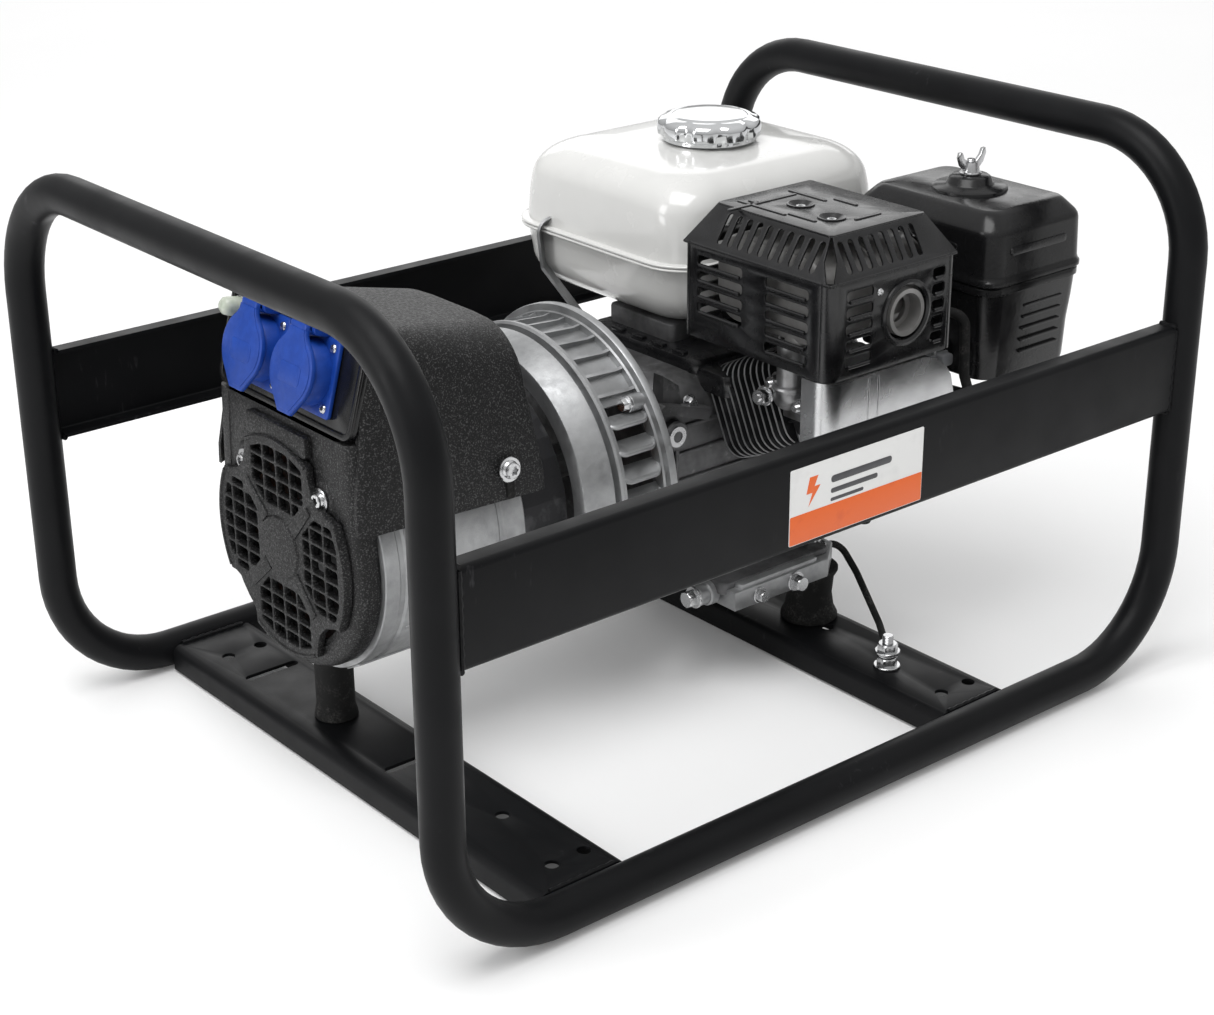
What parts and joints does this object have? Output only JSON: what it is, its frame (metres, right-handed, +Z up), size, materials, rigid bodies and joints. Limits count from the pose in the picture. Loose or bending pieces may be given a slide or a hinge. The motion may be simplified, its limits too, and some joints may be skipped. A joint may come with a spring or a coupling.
{
  "type": "portable generator",
  "caption": "Open-frame portable petrol generator: bent-tube carrying frame, alternator with lidded sockets, air-cooled engine with tank, muffler guard and air cleaner.",
  "frame": {"origin": "centre of the frame's footprint, on the ground", "axes": "+X along the length towards the engine end, -Y towards the muffler side, +Z up"},
  "size_m": [0.656, 0.481, 0.394],
  "materials": {
    "frame_paint": "satin black powder coat",
    "rubber": "matt black rubber",
    "grained_plastic": "grained black plastic",
    "gloss_plastic": "gloss black plastic",
    "black_enamel": "gloss black enamel",
    "socket_blue": "blue moulded plastic, slight sheen",
    "boot_clear": "translucent pale boot",
    "cast_aluminium": "die-cast, lightly blasted",
    "fin_black": "black heat paint over cast fins",
    "steel": "bare steel",
    "zinc_steel": "bright zinc plate",
    "lamination": "dark varnished laminations",
    "copper": "varnished copper windings",
    "tank_white": "gloss off-white enamel",
    "chrome": "bright chrome",
    "foam": "pleated paper and foam",
    "grey_plastic": "grey moulded plastic"
  },
  "bodies": {
    "body": {"frame_rail_front": "frame_paint", "frame_rail_rear": "frame_paint", "frame_hoop_alternator_end": "frame_paint", "frame_hoop_engine_end": "frame_paint", "side_bar_front": "frame_paint", "side_bar_rear": "frame_paint", "cross_plate_alternator": "frame_paint", "cross_plate_engine": "frame_paint", "end_cover": "grained_plastic", "end_grille": "grained_plastic", "alternator_hood": "grained_plastic", "stator_housing": "cast_aluminium", "stator_core": "lamination", "end_bearing": "cast_aluminium", "bell_housing": "cast_aluminium", "socket_panel": "gloss_plastic", "socket_left": "socket_blue", "socket_right": "socket_blue", "breaker_body": "gloss_plastic", "crankcase": "cast_aluminium", "cylinder": "fin_black", "piston": "steel", "valve_cover": "black_enamel", "spark_plug": "steel", "ignition_lead": "rubber", "exhaust_pipe": "steel", "muffler": "steel", "muffler_guard": "black_enamel", "head_cowl": "zinc_steel", "carburettor": "cast_aluminium", "air_cleaner_base": "gloss_plastic", "filter_element": "foam", "fuel_tank_upper": "tank_white", "fuel_tank_lower": "tank_white", "fan_shroud": "black_enamel", "recoil_cover": "black_enamel", "engine_bracket_front": "cast_aluminium", "engine_bracket_rear": "cast_aluminium", "rubber_mount_front": "rubber", "rubber_mount_rear": "rubber", "rubber_foot": "rubber", "engine_switch_box": "gloss_plastic", "earth_stud": "zinc_steel", "earth_cable": "rubber"},
    "crank": {"crankshaft": "steel", "rotor": "copper", "flywheel_fan": "cast_aluminium"},
    "lid_left": {"socket_lid_left": "socket_blue"},
    "lid_right": {"socket_lid_right": "socket_blue"},
    "breaker_button": {"breaker_button": "boot_clear"},
    "fuel_cap": {"fuel_cap": "chrome"},
    "cleaner_cover": {"air_cleaner_cover": "gloss_plastic"},
    "wing_nut": {"wing_nut": "zinc_steel"},
    "recoil_pulley": {"recoil_pulley": "gloss_plastic"},
    "starter_grip": {"starter_grip": "rubber"},
    "choke_lever": {"choke_lever": "grey_plastic"},
    "fuel_valve_lever": {"fuel_valve_lever": "grey_plastic"},
    "engine_switch_knob": {"engine_switch_knob": "grey_plastic"},
    "oil_filler_cap": {"oil_filler_cap": "grey_plastic"}
  },
  "joints": [
    {"name": "crank_spin", "type": "hinge", "parent": "body", "child": "crank", "pos_m": [0, 0.045, 0.158], "axis": [1, 0, 0], "continuous": true},
    {"name": "lid_left_hinge", "type": "hinge", "parent": "body", "child": "lid_left", "pos_m": [-0.23099, 0.0735, 0.31295], "axis": [0, 1, 0], "range_deg": [0, 100], "stiffness_Nm_per_rad": 0.02, "springref_deg": -28.65},
    {"name": "lid_right_hinge", "type": "hinge", "parent": "body", "child": "lid_right", "pos_m": [-0.23099, 0.0165, 0.31295], "axis": [0, 1, 0], "range_deg": [0, 100], "stiffness_Nm_per_rad": 0.02, "springref_deg": -28.65},
    {"name": "breaker_press", "type": "slide", "parent": "body", "child": "breaker_button", "axis": [0.9636, 0, -0.2672], "range_m": [0, 0.003], "stiffness_N_per_m": 300, "springref_m": -0.001},
    {"name": "fuel_cap_turn", "type": "hinge", "parent": "body", "child": "fuel_cap", "pos_m": [0.16, 0.085, 0.355], "axis": [0, 0, 1], "range_deg": [0, 90]},
    {"name": "cleaner_cover_lift", "type": "slide", "parent": "body", "child": "cleaner_cover", "axis": [0, 0, 1], "range_m": [0, 0.03]},
    {"name": "wing_nut_turn", "type": "hinge", "parent": "cleaner_cover", "child": "wing_nut", "pos_m": [0.255, -0.0825, 0.348], "axis": [0, 0, 1], "range_deg": [0, 720]},
    {"name": "recoil_pulley_spin", "type": "hinge", "parent": "body", "child": "recoil_pulley", "pos_m": [0.213, 0.045, 0.158], "axis": [1, 0, 0], "range_deg": [-500, 0], "stiffness_Nm_per_rad": 0.05, "springref_deg": 343.77},
    {"name": "starter_pull", "type": "slide", "parent": "body", "child": "starter_grip", "axis": [0, -1, 0], "range_m": [0, 0.5]},
    {"name": "choke_turn", "type": "hinge", "parent": "body", "child": "choke_lever", "pos_m": [0.158, -0.12, 0.231], "axis": [0, -1, 0], "range_deg": [0, 40]},
    {"name": "fuel_valve_turn", "type": "hinge", "parent": "body", "child": "fuel_valve_lever", "pos_m": [0.158, -0.12, 0.212], "axis": [0, 1, 0], "range_deg": [0, 60]},
    {"name": "engine_switch_turn", "type": "hinge", "parent": "body", "child": "engine_switch_knob", "pos_m": [0.124, -0.042, 0.113], "axis": [0, -1, 0], "range_deg": [0, 45]},
    {"name": "oil_cap_turn", "type": "hinge", "parent": "body", "child": "oil_filler_cap", "pos_m": [0.052, -0.03, 0.112], "axis": [0, -1, 0], "range_deg": [0, 360]}
  ],
  "couplings": [
    {"joint": "starter_pull", "follows": "recoil_pulley_spin", "m_per_rad": -0.057}
  ]
}
